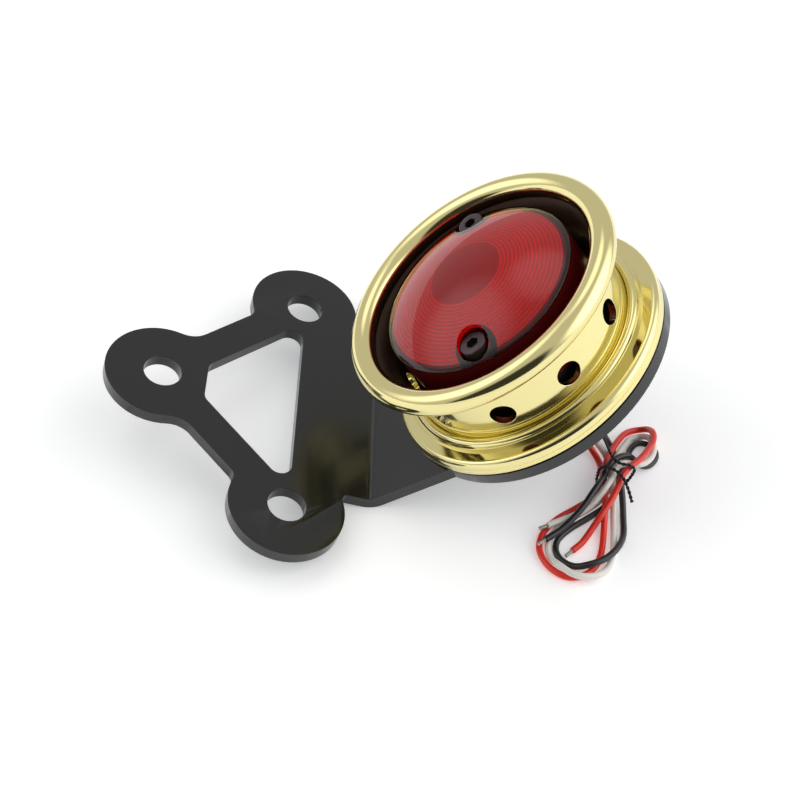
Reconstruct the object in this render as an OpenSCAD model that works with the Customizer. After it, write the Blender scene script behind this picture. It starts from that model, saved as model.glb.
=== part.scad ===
// Small LED tail light on a flat steel side bracket.
// Millimetres. The light lies as it was set down: on the outside of the bracket's bend and on the
// end of the mounting stud nearest the bend. +Z is up, +X runs from the bracket's ears to the lamp,
// Y is the bend's own direction. The origin is on the ground below the middle of the whole light.

/* [Bracket] */
// Thickness of the steel plate
plate_t = 3.5; // [2.5:0.1:5]
// Diameter of the three bolt holes
bolt_hole_d = 10.5; // [6:0.1:13]
// Outer radius of the ear round each bolt hole
ear_r = 15.8; // [13:0.1:19]
// Distance between the two bolt holes beside the bend
ear_span = 73.6; // [64:0.2:90]
// Distance from the end bolt hole to the line of the other two
ear_reach = 37.8; // [32:0.2:50]
// Distance from the line of the two bolt holes to the corner of the bend
bend_reach = 24.2; // [21:0.2:40]
// Web edge outside the line between two bolt holes
web_out = 5.3; // [4:0.1:8]
// Web edge inside the line between two bolt holes
web_in = 4.2; // [3:0.1:6]
// Corner radius of the three-sided window
window_r = 3.3; // [1.5:0.1:5]
// Distance from the end bolt hole to the window
window_gap = 12.3; // [11:0.1:16]
// Distance from the line of two bolt holes to the window's long side
window_land = 0.4; // [-1:0.1:2]
// Fillet where a web meets the end ear
end_fillet_r = 7; // [3:0.5:9]
// Fillet where a web meets an ear beside the bend
side_fillet_r = 3; // [1:0.5:5]
// Fillet where the arm meets an ear
arm_fillet_r = 1.5; // [0.5:0.1:3]
// Width of the arm
arm_w = 59; // [48:0.5:66]
// Angle of the bend
bend_angle = 50.2; // [35:0.1:60]
// Inside radius of the bend
bend_ri = 3; // [1:0.1:8]
// Distance along the arm from the corner of the bend to the lamp's centre
lamp_reach = 51.9; // [46:0.1:70]
// Diameter of the round pad under the lamp
pad_d = 78; // [72:0.5:90]

/* [Housing] */
// Thickness of the rubber gasket under the housing
gasket_t = 0.6; // [0.3:0.1:2]
// Diameter of the gasket
gasket_d = 77; // [60:0.5:80]
// Diameter of the turned brass base
base_d = 78.4; // [74:0.2:90]
// Height of the upright side of the base
base_side = 2.7; // [2:0.1:3]
// Radius that rounds the top of that side over to the flat band
shoulder_r = 1.6; // [1:0.1:2]
// Height of the lip inside the flat band
lip_h = 5.4; // [5:0.1:8]
// Diameter of that lip
lip_d = 69.8; // [69:0.2:73]
// Width of the flat top of the lip
lip_w = 0.7; // [0.3:0.1:1]
// Rise of the rounded ring between the lip and the wall
ring_rise = 0.9; // [0.4:0.1:1.2]
// Height of the fine groove turned round the side of the base
groove_h = 1.5; // [1:0.1:2]
// Depth of that groove
groove_depth = 0.3; // [0.1:0.05:0.5]
// Outer diameter of the round wall
wall_d = 63; // [60:0.5:66]
// Thickness of the wall
wall_t = 2; // [1.2:0.1:2.4]
// Thickness of the brass floor
floor_t = 4; // [3.2:0.1:5]
// Height of the whole housing
housing_h = 30.2; // [29:0.1:36]
// Outer diameter of the rolled rim
rim_d = 77.5; // [75:0.5:84]
// Thickness of the rolled rim
bead_d = 6.6; // [5:0.1:8]
// Radius of the flare between the wall and the rim
flare_r = 6.5; // [5:0.1:8]
// Number of round holes in the wall
speed_hole_count = 10; // [6:1:12]
// Diameter of the holes in the wall
speed_hole_d = 6.6; // [4:0.1:8]
// Height of the holes above the bottom of the housing
speed_hole_h = 12.7; // [11:0.1:15]
// Turn of the ring of holes
speed_hole_turn = 14.7; // [0:0.1:36]

/* [Lens] */
// Diameter of the lens
lens_d = 54.2; // [50:0.2:57]
// Thickness of the lens
lens_t = 2; // [1.5:0.1:2.5]
// Height of the lens rim above the bottom of the housing
lens_rim_h = 28.1; // [25:0.1:32]
// Rise of the lens dome above its rim
lens_rise = 7.5; // [5:0.1:10]
// Radius of the plain disc in the middle of the moulded rings
ring_start = 10; // [6:0.5:14]
// Number of moulded rings inside the dome
ring_count = 16; // [6:1:16]
// Spacing of the moulded rings
ring_pitch = 0.95; // [0.6:0.05:0.95]
// Depth of the moulded rings
ring_depth = 0.35; // [0.1:0.05:0.6]
// Distance of each lens screw from the lamp's centre
screw_offset = 22.2; // [20:0.1:22.4]
// Diameter of the pocket for each screw head
pocket_d = 8.7; // [8:0.1:9]
// Diameter of the lens post round each screw
lens_post_d = 11; // [10:0.1:12]
// Height of the lens's lower edge above the bottom of the housing
skirt_h = 11; // [10.6:0.1:13]
// Thickness of the rubber ring under the lens
ring_gasket_t = 1; // [0.5:0.1:1.5]

/* [Lens screws] */
// Thread diameter of the lens screws
screw_d = 4; // [3:0.1:4]
// Length of a lens screw under its head
screw_l = 20; // [18:0.5:22]
// Diameter of the screw head
screw_head_d = 7; // [6:0.1:7.4]
// Height of the screw head
screw_head_h = 4; // [3:0.1:4.5]
// Width of the hexagon socket
socket_w = 3; // [2:0.1:3.5]
// Thickness of the washer under the screw head
screw_washer_t = 0.8; // [0.5:0.1:1]
// Width of the hexagonal standoffs across their flats
standoff_w = 6; // [5.5:0.1:6.2]
// Height of the standoffs above the floor
standoff_h = 10; // [8:0.1:10.5]

/* [Light board] */
// Thickness of the plastic tray's floor
tray_t = 2; // [1.5:0.1:3]
// Height of the ledge that carries the board, above the tray's underside
ledge_h = 9; // [8:0.1:10]
// Diameter of the circuit board
board_d = 48.6; // [46:0.2:49]
// Thickness of the circuit board
board_t = 1.6; // [1:0.1:2]
// Diameter of an LED
led_d = 5; // [3:0.1:5]
// Height of an LED
led_h = 8.6; // [5:0.1:9]
// Number of LEDs in the inner ring
led_inner = 5; // [3:1:6]
// Radius of the inner ring of LEDs
led_inner_r = 7.5; // [6.5:0.1:8]
// Radius of the outer ring of LEDs
led_outer_r = 16; // [15:0.1:17]

/* [Fixings] */
// Thread diameter of the mounting studs
stud_d = 5; // [4:0.1:6]
// Distance between the two mounting studs
stud_pitch = 34; // [30:0.5:42]
// Length of stud that stands out under the bracket
stud_out = 20; // [18:0.1:26]
// Depth of each stud in the brass floor
stud_in = 2.8; // [2:0.1:3]
// Outer diameter of the flat washers
washer_d = 10; // [9:0.1:12]
// Thickness of the flat washers
washer_t = 1; // [0.6:0.1:1.6]
// Thickness of the spring washers
spring_t = 1.2; // [0.8:0.1:2]
// Width of the nuts across their flats
nut_w = 8; // [7.5:0.1:10]
// Thickness of the nuts
nut_t = 4; // [3:0.1:5]
// Diameter of the cable hole in the bracket and the housing
cable_hole_d = 10; // [9:0.1:11]
// Diameter of the grommet's flange
grommet_d = 15; // [13:0.5:18]
// Thickness of the grommet's flange
grommet_t = 2; // [1:0.1:3]
// Diameter of the hole through the grommet
grommet_bore = 5.4; // [5:0.1:6]

/* [Leads] */
// Diameter of each lead over its insulation
lead_d = 1.8; // [1.2:0.1:1.8]
// Distance of each lead from the middle of the grommet
lead_offset = 1.35; // [1.2:0.05:1.6]
// Diameter of the bare twisted strands
strand_d = 1.1; // [0.6:0.1:1.2]
// Length of the bare strands
strand_l = 2.6; // [1.6:0.1:2.8]
// Diameter of the wire tie
tie_d = 0.9; // [0.6:0.1:1]

/* [Hidden] */

// Clearances
slip = 0.05;   // a thread or a pressed stud in its hole, on the radius
loose = 0.15;  // a washer on its stud, on the radius
play = 0.3;    // a soft or moving piece beside its neighbour
cut = 1;       // how far a cutter runs past the face that it cuts
lap = 4;       // how far the bent strip runs into the flat plate

// Bracket
ear_y = ear_span / 2;
corner_x = ear_reach + bend_reach;
ear_len = norm([ear_reach, ear_y]);
along = [ear_reach, ear_y] / ear_len;
outward = [-ear_y, ear_reach] / ear_len;
bend_ro = bend_ri + plate_t;
bend_len = bend_ro * tan(bend_angle / 2);

// The light rests on the bend and on the end of the near stud. Both touch one level line.
stud_foot = lamp_reach - stud_pitch / 2 - stud_d / 2;
foot_from_bend = [bend_len - stud_foot, bend_ro + stud_out];
lamp_tilt = atan2(foot_from_bend.x, foot_from_bend.y) + acos(bend_ro / norm(foot_from_bend));
plate_tilt = bend_angle - lamp_tilt;
bend_centre_z = bend_len * sin(lamp_tilt) + bend_ro * cos(lamp_tilt);
ground_lift = bend_ro - bend_centre_z;
end_x = -(corner_x + ear_r) * cos(plate_tilt);
far_x = (lamp_reach + pad_d / 2) * cos(lamp_tilt);
middle_x = (end_x + far_x) / 2;

// Housing, in heights above its own bottom
seat_h = plate_t + gasket_t;
base_r = base_d / 2;
lip_r = lip_d / 2;
wall_r = wall_d / 2;
bore_r = wall_r - wall_t;
band_z = base_side + shoulder_r;
ring_half = (lip_r - lip_w - wall_r) / 2;
ring_h = min(ring_rise, ring_half);
ring_r = (ring_half * ring_half + ring_h * ring_h) / (2 * ring_h);
ring_turn = acos(1 - ring_h / ring_r);
bead_r = bead_d / 2;
bead_x = rim_d / 2 - bead_r;
bead_z = housing_h - bead_r;
flare_x = wall_r + flare_r;
flare_turn = 62;
flare_z = bead_z - bead_r * 0.85 - flare_r * sin(flare_turn);

// Lens
lens_r = lens_d / 2;
dome_big_r = (lens_r * lens_r + lens_rise * lens_rise) / (2 * lens_rise);
dome_centre_z = lens_rim_h + lens_rise - dome_big_r;
head_level = dome_centre_z + sqrt(dome_big_r * dome_big_r - screw_offset * screw_offset);
pocket_z = head_level - screw_head_h - screw_washer_t;
screw_seat_z = pocket_z + screw_washer_t;
rim_edge = 0.8;

// Light board
tray_top_z = skirt_h - ring_gasket_t;
tray_wall = lens_t + 0.2;
board_z = floor_t + ledge_h;
board_top_z = board_z + board_t;
post_room_r = lens_post_d / 2 + play;
ledge_r = board_d / 2 - 1.5;
ledge_w = 3;
led_outer_angles = [-50, -25, 0, 25, 50, 130, 155, 180, 205, 230];
resistor_d = 2.4;
resistor_l = 6.3;
resistor_y = 13.2;
diode_size = [4.6, 2.7, 2.2];
diode_x = 13;
solder_r = 1;

// Fixings
stud_r = stud_d / 2;
stud_top_z = stud_in;
stud_hole_r = stud_r + 0.25;
spring_r = washer_d / 2 - 0.6;
spring_gap = 1;
grommet_neck_r = cable_hole_d / 2 - slip;
lead_angles = [-90, 30, 150];
exit_z = -seat_h - grommet_t;

// Routes of the free leads, from the grommet to the cut end. The first two points follow the
// grommet, and the rest lie on the ground: down to the tie, round the lower loop, back through the
// tie, round the upper loop, and through the tie once more to the bare end.
route_red = [
    [49.3, -1.9, 16.4], [53, -3.6, 10.2], [56.3, -6, 5], [59.2, -9, 1.6], [60.8, -12.2, 0.9],
    [61.4, -15.6, 1.3], [61.5, -19, 2], [61, -22, 2], [58.6, -25.6, 1], [53.6, -29.4, 0.9],
    [48.6, -33, 0.9], [44.6, -37.6, 0.9], [43.2, -43, 0.9], [45.2, -48.4, 0.9], [49.6, -51.8, 0.9],
    [54.2, -51.4, 0.9], [57.6, -48.4, 0.9], [59.4, -44, 0.9], [60.4, -38.4, 0.9], [60.9, -33.6, 2.2],
    [61.3, -29.6, 3.4], [61.4, -25.8, 4.2], [61.4, -22, 4.4], [61.9, -18.2, 4.5], [63, -14.4, 4.2],
    [64.5, -10.8, 3.5], [66.4, -7.2, 3], [68.4, -4.2, 2.4], [70.6, -2.2, 1.6], [73, -1.6, 1.6],
    [75.3, -2.7, 3.1], [76.2, -5.4, 4.8], [75.8, -9, 5.5], [74, -12.6, 6.1], [71.4, -16.5, 6.7],
    [68.2, -19.7, 6.9], [66, -22.8, 6.7], [64.6, -26.2, 6.2], [62.6, -30.2, 5.7], [60.2, -33.8, 4.9],
    [57.6, -37, 2.6], [54.6, -40.8, 0.9], [51.9, -43.5, 0.9]
];
route_black = [
    [50.6, 0.2, 17.2], [55.4, -0.6, 11.2], [60, -2.2, 5.9], [63.4, -5.2, 2], [65.2, -9.2, 0.9],
    [65.8, -14, 0.9], [66, -19, 2], [65.6, -21.8, 2], [63.8, -25.6, 1], [60.8, -29.4, 0.9],
    [56.2, -33, 0.9], [51.6, -36.4, 0.9], [48.4, -39.8, 0.9], [47.5, -43.4, 0.9], [48.8, -46.6, 0.9],
    [52, -48.9, 1.4], [56.2, -49.2, 3], [60.4, -47.2, 3.1], [63.6, -43.6, 2.8], [65.6, -38.4, 1.1],
    [66.1, -32.8, 0.9], [66.2, -27.2, 2.4], [66, -22, 4.4], [66.5, -18.4, 4.4], [67.6, -15, 3.6],
    [68.9, -11.6, 2.2], [70.1, -8.4, 1.1], [71.8, -6.3, 0.9], [73.9, -6, 0.9], [76.1, -7.2, 0.9],
    [77, -9.4, 0.9], [76.6, -11.8, 0.9], [75, -13.8, 0.9], [72.9, -14.8, 1.6], [70.8, -14.8, 3.5],
    [68.5, -14.8, 5.8], [66, -15.8, 6.6], [63.6, -17.8, 6.7], [61.9, -20.6, 6.7], [61.1, -23, 6.7],
    [59.5, -25.7, 7], [57.6, -28.6, 6.6], [55.4, -31.8, 5.6], [52.6, -35, 4.4], [49, -38.4, 3.3],
    [44.8, -41.6, 3.1]
];
route_white = [
    [48.2, 0.4, 16.2], [52.8, -0.8, 9.9], [57.2, -3.4, 4.6], [61.3, -7.2, 1.4], [63.1, -10.8, 0.9],
    [63.7, -15, 1.2], [63.8, -19, 2], [63.3, -22, 2], [61.2, -25.6, 1], [57.2, -29.4, 0.9],
    [52.4, -32.8, 0.9], [48, -36.6, 0.9], [45.7, -41, 0.9], [45.9, -45.6, 1], [48.1, -49.6, 2.7],
    [52, -52.8, 3.1], [56.8, -52.4, 2.2], [60.6, -49.2, 0.9], [62.4, -44.6, 0.9], [63.1, -39, 0.9],
    [63.5, -33, 1.2], [63.7, -27.4, 3.2], [63.7, -22, 4.4], [64.2, -18.2, 4.5], [65.3, -14.6, 4.2],
    [66.8, -11.2, 3.3], [68.4, -8, 2.2], [70.1, -5.2, 1.4], [72.4, -3.9, 1], [74.4, -4.3, 1.9],
    [75.8, -6.4, 3], [76.3, -9.6, 3.1], [75.3, -12.8, 3.3], [73.6, -15.2, 3.9], [71.5, -16.6, 4.5],
    [69.2, -16.9, 5], [67, -17.8, 6.3], [65, -19.6, 6.8], [63.9, -21.6, 6.8], [63.3, -23.4, 6.7],
    [61.8, -25.8, 6.6], [59.5, -28.6, 5.2], [56.6, -31.2, 3.6], [53, -33.2, 2.9], [49, -35.2, 2.9], [45.6, -36.9, 3]
];
route_tie = [
    [61.6, -6.5, 5.6], [62, -9.5, 7.2], [62.5, -12.8, 8.3], [63.1, -16, 8.7], [64.1, -18.6, 8.8],
    [65.8, -20, 8.7], [67.9, -20.4, 8.6], [69.4, -20.7, 7.2], [68.8, -20.8, 4.4], [67.8, -20.9, 2.2],
    [66.6, -20.9, 0.7], [63.6, -20.9, 0.5], [60.7, -20.9, 0.6], [59.7, -20.8, 2.2], [59.7, -20.7, 4.6],
    [59.9, -20.7, 7], [61, -20.9, 8.4], [63, -21.6, 8.6], [65, -23.2, 8.5], [66.4, -25.4, 7.9],
    [67.4, -27.8, 6.6], [68.2, -30.2, 5]
];
route_steps = 2;
tie_steps = 2;
cord_sides = 8;

// Where things stand
module on_ground() translate([-middle_x, 0, ground_lift]) children();
module on_plate() on_ground() rotate([0, plate_tilt, 0]) translate([-corner_x, 0, 0]) children();
module on_arm() on_ground() rotate([0, -lamp_tilt, 0]) children();
module on_lamp() on_arm() translate([lamp_reach, 0, seat_h]) children();

function tilted(p) = [
    p.x * cos(lamp_tilt) - p.z * sin(lamp_tilt), p.y, p.x * sin(lamp_tilt) + p.z * cos(lamp_tilt)
];
function lamp_point(p) = tilted([lamp_reach + p.x, p.y, seat_h + p.z]) + [-middle_x, 0, ground_lift];
function plate_point(p) = let (x = p.x - corner_x) [
    x * cos(plate_tilt) + p.z * sin(plate_tilt) - middle_x, p.y,
    -x * sin(plate_tilt) + p.z * cos(plate_tilt) + ground_lift
];

// Points of an arc of radius r from p to q, bulging to the right of the way from p to q
function arc(o, r, a, b, n) = [for (i = [0:n]) let (t = a + (b - a) * i / n) o + r * [cos(t), sin(t)]];

// Bracket outline, with the end bolt hole at the origin

// Concave fillet of radius r in the corner between a web and an ear. The ear's centre is at the
// origin, the web runs along +X with its edge at y = edge.
module web_fillet(r, edge) {
    centre = [sqrt(pow(ear_r + r, 2) - pow(edge + r, 2)), edge + r];
    difference() {
        polygon([[0, 0], [centre.x, 0], [centre.x, edge], centre, centre * ear_r / (ear_r + r)]);
        translate(centre) circle(r = r, $fn = 64);
    }
}

module web(side) {
    turn = atan2(ear_y, ear_reach);
    mirror([0, side > 0 ? 0 : 1]) rotate(turn) {
        polygon([[0, -web_in], [ear_len, -web_in], [ear_len, web_out], [0, web_out]]);
        web_fillet(end_fillet_r, web_out);
        translate([ear_len, 0]) mirror([1, 0]) web_fillet(side_fillet_r, web_out);
    }
}

module window_outline() {
    inset = (web_in + window_r) * ear_len;
    left = window_gap + window_r;
    right = ear_reach + window_land - window_r;
    left_y = (ear_y * left - inset) / ear_reach;
    right_y = (ear_y * right - inset) / ear_reach;
    corners = [[left, left_y], [left, -left_y], [right, -right_y], [right, right_y]];
    polygon(corners);
    for (i = [0:3]) {
        p = corners[i];
        q = corners[(i + 1) % 4];
        d = (q - p) / norm(q - p);
        n = [d.y, -d.x] * window_r;
        polygon([p, q, q + n, p + n]);
        translate(p) circle(r = window_r, $fn = 48);
    }
}

module plate_outline() {
    difference() {
        union() {
            for (c = [[0, 0], [ear_reach, ear_y], [ear_reach, -ear_y]])
                translate(c) circle(r = ear_r, $fn = 96);
            for (side = [-1, 1]) web(side);
            polygon([[0, 0], [ear_reach, -ear_y], [ear_reach, ear_y]]);
            translate([ear_reach, -arm_w / 2]) square([bend_reach - bend_len - lap / 2, arm_w]);
            for (side = [0, 1]) mirror([0, side]) translate([ear_reach, ear_y]) arm_corner();
        }
        window_outline();
    }
}

// Fillet between an ear beside the bend and the arm's edge, with the ear's centre at the origin
module arm_corner() {
    drop = ear_y - arm_w / 2;
    centre = [sqrt(pow(ear_r + arm_fillet_r, 2) - pow(drop - arm_fillet_r, 2)), arm_fillet_r - drop];
    difference() {
        polygon([[0, -drop - 1], [centre.x, -drop - 1], [centre.x, -drop], centre,
            centre * ear_r / (ear_r + arm_fillet_r), [0, 0]]);
        translate(centre) circle(r = arm_fillet_r, $fn = 48);
    }
}

// Side view of the bent strip, in the arm's own frame: a short length of the plate, the bend and the
// arm as far as the lamp's centre
module strip_section() {
    arm_end = [lamp_reach, 0];
    plate_way = [-cos(bend_angle), sin(bend_angle)];
    plate_up = [sin(bend_angle), cos(bend_angle)];
    plate_end = plate_way * (bend_len + lap);
    plate_far = plate_way * (bend_len + 2 * bend_ro) + plate_up * plate_t;
    up = [0, 1];
    centre = [bend_len, bend_ro];
    difference() {
        union() {
            polygon([plate_end, plate_way * bend_len, centre, [bend_len, 0], arm_end,
                arm_end + up * plate_t, plate_end + plate_up * plate_t]);
            translate(centre) circle(r = bend_ro, $fn = 96);
        }
        polygon([plate_far, plate_way * bend_len + plate_up * plate_t, centre, [bend_len, plate_t],
            arm_end + [cut, plate_t], arm_end + [cut, corner_x], plate_far + up * corner_x]);
        translate(centre) circle(r = bend_ri, $fn = 96);
    }
}

module bracket() color([0.13, 0.14, 0.13]) difference() {
    union() {
        on_plate() linear_extrude(plate_t) plate_outline();
        on_arm() rotate([90, 0, 0]) linear_extrude(arm_w, center = true) strip_section();
        on_arm() translate([lamp_reach, 0, 0]) cylinder(d = pad_d, h = plate_t, $fn = 128);
    }
    on_plate() for (c = [[0, 0], [ear_reach, ear_y], [ear_reach, -ear_y]])
        translate([c.x, c.y, -cut]) cylinder(d = bolt_hole_d, h = plate_t + 2 * cut, $fn = 64);
    on_arm() translate([lamp_reach, 0, -cut]) {
        cylinder(d = cable_hole_d, h = plate_t + 2 * cut, $fn = 64);
        for (side = [-1, 1]) translate([side * stud_pitch / 2, 0, 0])
            cylinder(r = stud_hole_r, h = plate_t + 2 * cut, $fn = 48);
    }
}

module base_gasket() color([0.08, 0.08, 0.08]) on_lamp() translate([0, 0, -gasket_t]) difference() {
    cylinder(d = gasket_d, h = gasket_t, $fn = 128);
    translate([0, 0, -cut]) cylinder(d = cable_hole_d, h = gasket_t + 2 * cut, $fn = 64);
    for (side = [-1, 1]) translate([side * stud_pitch / 2, 0, -cut])
        cylinder(r = stud_hole_r, h = gasket_t + 2 * cut, $fn = 48);
}

// Turned section of the housing: base with its round shoulder, flat band, lip and ring, then the
// round wall and the flare, with the rolled rim on top
module housing_section() {
    polygon(concat(
        [[0, 0], [base_r, 0]],
        arc([base_r - shoulder_r, base_side], shoulder_r, 0, 90, 10),
        [[lip_r, band_z], [lip_r, lip_h]],
        arc([wall_r + ring_half, lip_h + ring_h - ring_r], ring_r, 90 - ring_turn, 90 + ring_turn, 10),
        arc([flare_x, flare_z], flare_r, 180, 180 - flare_turn, 10),
        arc([flare_x, flare_z], flare_r + wall_t, 180 - flare_turn, 180, 10),
        [[bore_r, floor_t], [0, floor_t]]
    ));
    translate([bead_x, bead_z]) circle(r = bead_r, $fn = 64);
}

module housing() color([0.85, 0.75, 0.35]) on_lamp() difference() {
    rotate_extrude($fn = 144) housing_section();
    translate([0, 0, groove_h]) groove_cutter();
    for (i = [0:speed_hole_count - 1])
        rotate([0, 0, speed_hole_turn + i * 360 / speed_hole_count])
            translate([wall_r + cut, 0, speed_hole_h]) rotate([0, -90, 0])
                cylinder(d = speed_hole_d, h = wall_t + 2 * cut, $fn = 48);
    translate([0, 0, -cut]) cylinder(d = cable_hole_d, h = floor_t + 2 * cut, $fn = 64);
    for (side = [-1, 1]) {
        translate([side * stud_pitch / 2, 0, -cut])
            cylinder(r = stud_r + slip, h = stud_in + slip + cut, $fn = 48);
        translate([0, side * screw_offset, floor_t - stud_in - slip])
            cylinder(r = screw_d / 2 + slip, h = stud_in + slip + cut, $fn = 48);
    }
}

// Ring that cuts the fine groove into the side of the base
module groove_cutter() rotate_extrude($fn = 144) polygon([
    [base_r - groove_depth, 0], [base_r + groove_depth, -groove_depth],
    [base_r + groove_depth, groove_depth]
]);

module lens_tray() color([0.1, 0.1, 0.1]) on_lamp() difference() {
    translate([0, 0, floor_t]) difference() {
        union() {
            cylinder(r = lens_r, h = tray_top_z - floor_t, $fn = 96);
            cylinder(r = ledge_r, h = ledge_h, $fn = 96);
        }
        translate([0, 0, tray_t]) difference() {
            cylinder(r = lens_r - tray_wall, h = ledge_h + cut, $fn = 96);
            translate([0, 0, -cut]) cylinder(r = ledge_r, h = ledge_h + 3 * cut, $fn = 96);
        }
        translate([0, 0, tray_t]) cylinder(r = ledge_r - ledge_w, h = ledge_h + cut, $fn = 96);
        translate([0, 0, -cut]) cylinder(d = cable_hole_d, h = tray_t + 2 * cut, $fn = 64);
    }
    for (side = [-1, 1]) translate([0, side * screw_offset, 0]) {
        translate([0, 0, floor_t + tray_t]) intersection() {
            cylinder(r = post_room_r, h = ledge_h + cut, $fn = 64);
            translate([0, -side * screw_offset, 0])
                cylinder(r = lens_r - tray_wall, h = ledge_h + cut, $fn = 96);
        }
        cylinder(r = standoff_w / sqrt(3) + play, h = tray_top_z + cut, $fn = 48);
    }
}

module lens_gasket() color([0.06, 0.06, 0.06]) on_lamp() translate([0, 0, tray_top_z]) difference() {
    cylinder(r = lens_r, h = ring_gasket_t, $fn = 96);
    translate([0, 0, -cut]) cylinder(r = lens_r - lens_t, h = ring_gasket_t + 2 * cut, $fn = 96);
    for (side = [-1, 1]) translate([0, side * screw_offset, -cut])
        cylinder(r = standoff_w / sqrt(3) + play, h = ring_gasket_t + 2 * cut, $fn = 64);
}

// Inside face of the lens dome: plain in the middle, then small moulded ridges
function inner_dome_z(r) = dome_centre_z + sqrt(pow(dome_big_r - lens_t, 2) - r * r);
function ridge_points() = [
    for (i = [0:ring_count - 1]) let (r = ring_start + i * ring_pitch)
        if (r + ring_pitch / 2 < lens_r - lens_t) each [[r, inner_dome_z(r)], [r + ring_pitch * 0.15, inner_dome_z(r) - ring_depth]]
];

module lens_section() {
    edge_r = lens_r - lens_t;
    rim_angle = asin((lens_r - rim_edge) / dome_big_r);
    polygon(concat(
        [[lens_r, skirt_h], [lens_r, lens_rim_h - rim_edge]],
        arc([0, dome_centre_z], dome_big_r, 90 - rim_angle, 90, 24),
        [[0, inner_dome_z(0)], [ring_start, inner_dome_z(ring_start)]],
        ridge_points(),
        [[edge_r, inner_dome_z(edge_r)], [edge_r, skirt_h]]
    ));
}

module lens() color([0.75, 0.05, 0.08]) on_lamp() {
    difference() {
        rotate_extrude($fn = 144) lens_section();
        for (side = [-1, 1]) translate([0, side * screw_offset, skirt_h])
            cylinder(d = pocket_d, h = lens_rise + lens_rim_h, $fn = 64);
    }
    for (side = [-1, 1]) intersection() {
        translate([0, side * screw_offset, 0]) lens_post();
        rotate_extrude($fn = 144) polygon(concat(
            [[0, skirt_h], [lens_r, skirt_h], [lens_r, lens_rim_h - rim_edge]],
            arc([0, dome_centre_z], dome_big_r, 90 - asin((lens_r - rim_edge) / dome_big_r), 90, 24)
        ));
    }
}

// Hollow post in the lens that takes one screw: head pocket above, standoff socket below
module lens_post() {
    socket_top = floor_t + standoff_h + play;
    difference() {
        translate([0, 0, skirt_h]) cylinder(d = lens_post_d, h = lens_rise + lens_rim_h, $fn = 64);
        translate([0, 0, pocket_z]) cylinder(d = pocket_d, h = lens_rise + lens_rim_h, $fn = 64);
        translate([0, 0, skirt_h - cut]) cylinder(d = screw_d + 2 * play, h = lens_rim_h, $fn = 48);
        translate([0, 0, skirt_h - cut])
            cylinder(r = standoff_w / sqrt(3) + play, h = socket_top - skirt_h + cut, $fn = 48);
    }
}

module at_screw(side) on_lamp() translate([0, side * screw_offset, 0]) children();

module lens_screw(side) color([0.12, 0.12, 0.12]) at_screw(side) difference() {
    translate([0, 0, screw_seat_z]) {
        cylinder(d = screw_head_d, h = screw_head_h, $fn = 64);
        translate([0, 0, -screw_l]) cylinder(d = screw_d, h = screw_l, $fn = 48);
    }
    translate([0, 0, screw_seat_z + screw_head_h / 2])
        cylinder(r = socket_w / sqrt(3), h = screw_head_h, $fn = 6);
}
module lens_screw_1() lens_screw(-1);
module lens_screw_2() lens_screw(1);

module screw_washer(side) color([0.2, 0.2, 0.2]) at_screw(side) translate([0, 0, pocket_z]) difference() {
    cylinder(d = screw_head_d + 0.6, h = screw_washer_t, $fn = 64);
    translate([0, 0, -cut]) cylinder(r = screw_d / 2 + slip, h = screw_washer_t + 2 * cut, $fn = 48);
}
module screw_washer_1() screw_washer(-1);
module screw_washer_2() screw_washer(1);

module standoff(side) color([0.8, 0.68, 0.3]) at_screw(side) difference() {
    union() {
        translate([0, 0, floor_t]) cylinder(r = standoff_w / sqrt(3), h = standoff_h, $fn = 6);
        translate([0, 0, floor_t - stud_in]) cylinder(d = screw_d, h = stud_in + slip, $fn = 48);
    }
    translate([0, 0, floor_t + 1]) cylinder(r = screw_d / 2 + slip, h = standoff_h, $fn = 48);
}
module standoff_1() standoff(-1);
module standoff_2() standoff(1);

module led_board() color([0.05, 0.3, 0.15]) on_lamp() translate([0, 0, board_z]) difference() {
    cylinder(d = board_d, h = board_t, $fn = 96);
    for (side = [-1, 1]) translate([0, side * screw_offset, -cut])
        cylinder(r = post_room_r, h = board_t + 2 * cut, $fn = 64);
}

module led() {
    cylinder(d = led_d + 0.8, h = 1, $fn = 32);
    cylinder(d = led_d, h = led_h - led_d / 2, $fn = 32);
    translate([0, 0, led_h - led_d / 2]) sphere(d = led_d, $fn = 32);
}

module leds() color([0.9, 0.85, 0.85]) on_lamp() translate([0, 0, board_top_z]) {
    for (i = [0:led_inner - 1]) rotate([0, 0, i * 360 / led_inner])
        translate([led_inner_r, 0, 0]) led();
    for (a = led_outer_angles) rotate([0, 0, a]) translate([led_outer_r, 0, 0]) led();
}

module resistors() color([0.75, 0.62, 0.42]) on_lamp()
    for (side = [-1, 1]) translate([0, side * resistor_y, board_top_z + resistor_d / 2])
        rotate([0, 90, 0]) cylinder(d = resistor_d, h = resistor_l, center = true, $fn = 32);

module diode() color([0.08, 0.08, 0.08]) on_lamp()
    translate([diode_x, 0, board_z - diode_size.z / 2]) cube(diode_size, center = true);

module at_leads() for (a = lead_angles) rotate([0, 0, a]) translate([lead_offset, 0, 0]) children();

module solder_joints() color([0.75, 0.76, 0.78]) on_lamp() translate([0, 0, board_top_z]) at_leads()
    cylinder(r1 = solder_r, r2 = solder_r / 2, h = solder_r, $fn = 24);

module at_stud(side) on_lamp() translate([side * stud_pitch / 2, 0, 0]) children();
module below_pad(side, depth) at_stud(side) translate([0, 0, -seat_h - depth]) children();

module stud(side) color([0.72, 0.73, 0.75]) below_pad(side, stud_out)
    cylinder(d = stud_d, h = stud_out + seat_h + stud_top_z, $fn = 48);
module stud_near() stud(-1);
module stud_far() stud(1);

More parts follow.
